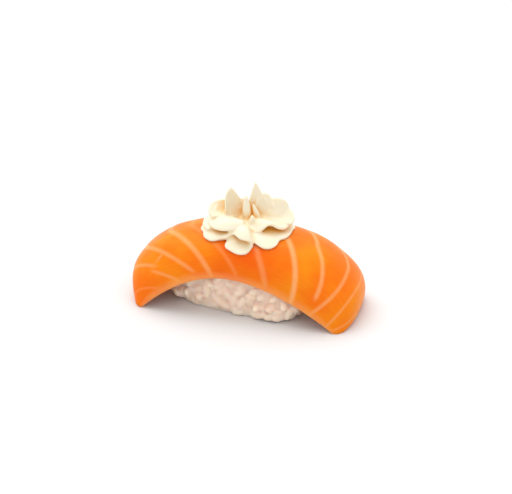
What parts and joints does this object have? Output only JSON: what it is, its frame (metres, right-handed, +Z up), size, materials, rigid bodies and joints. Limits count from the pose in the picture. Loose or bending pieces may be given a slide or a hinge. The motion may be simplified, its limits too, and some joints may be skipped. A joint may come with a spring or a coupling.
{
  "type": "salmon nigiri",
  "caption": "Salmon nigiri: a slice of raw salmon draped over a mound of pressed rice, its ends hanging to the table, with a piped rosette of pale cream on top.",
  "frame": {"origin": "centre of the bounding box's base, on the table under the middle of the rice", "axes": "+X along the salmon slice, +Y towards the hidden back, +Z up"},
  "size_m": [0.08, 0.0318, 0.0443],
  "materials": {
    "rice": "cooked short-grain rice, moist and translucent",
    "salmon": "raw salmon with pale fat lines, moist",
    "cream": "stiff piped cream, pale ivory, softly glossy"
  },
  "bodies": {
    "root": {"rice": "rice", "salmon_slice": "salmon", "cream_rosette": "cream"}
  },
  "joints": []
}
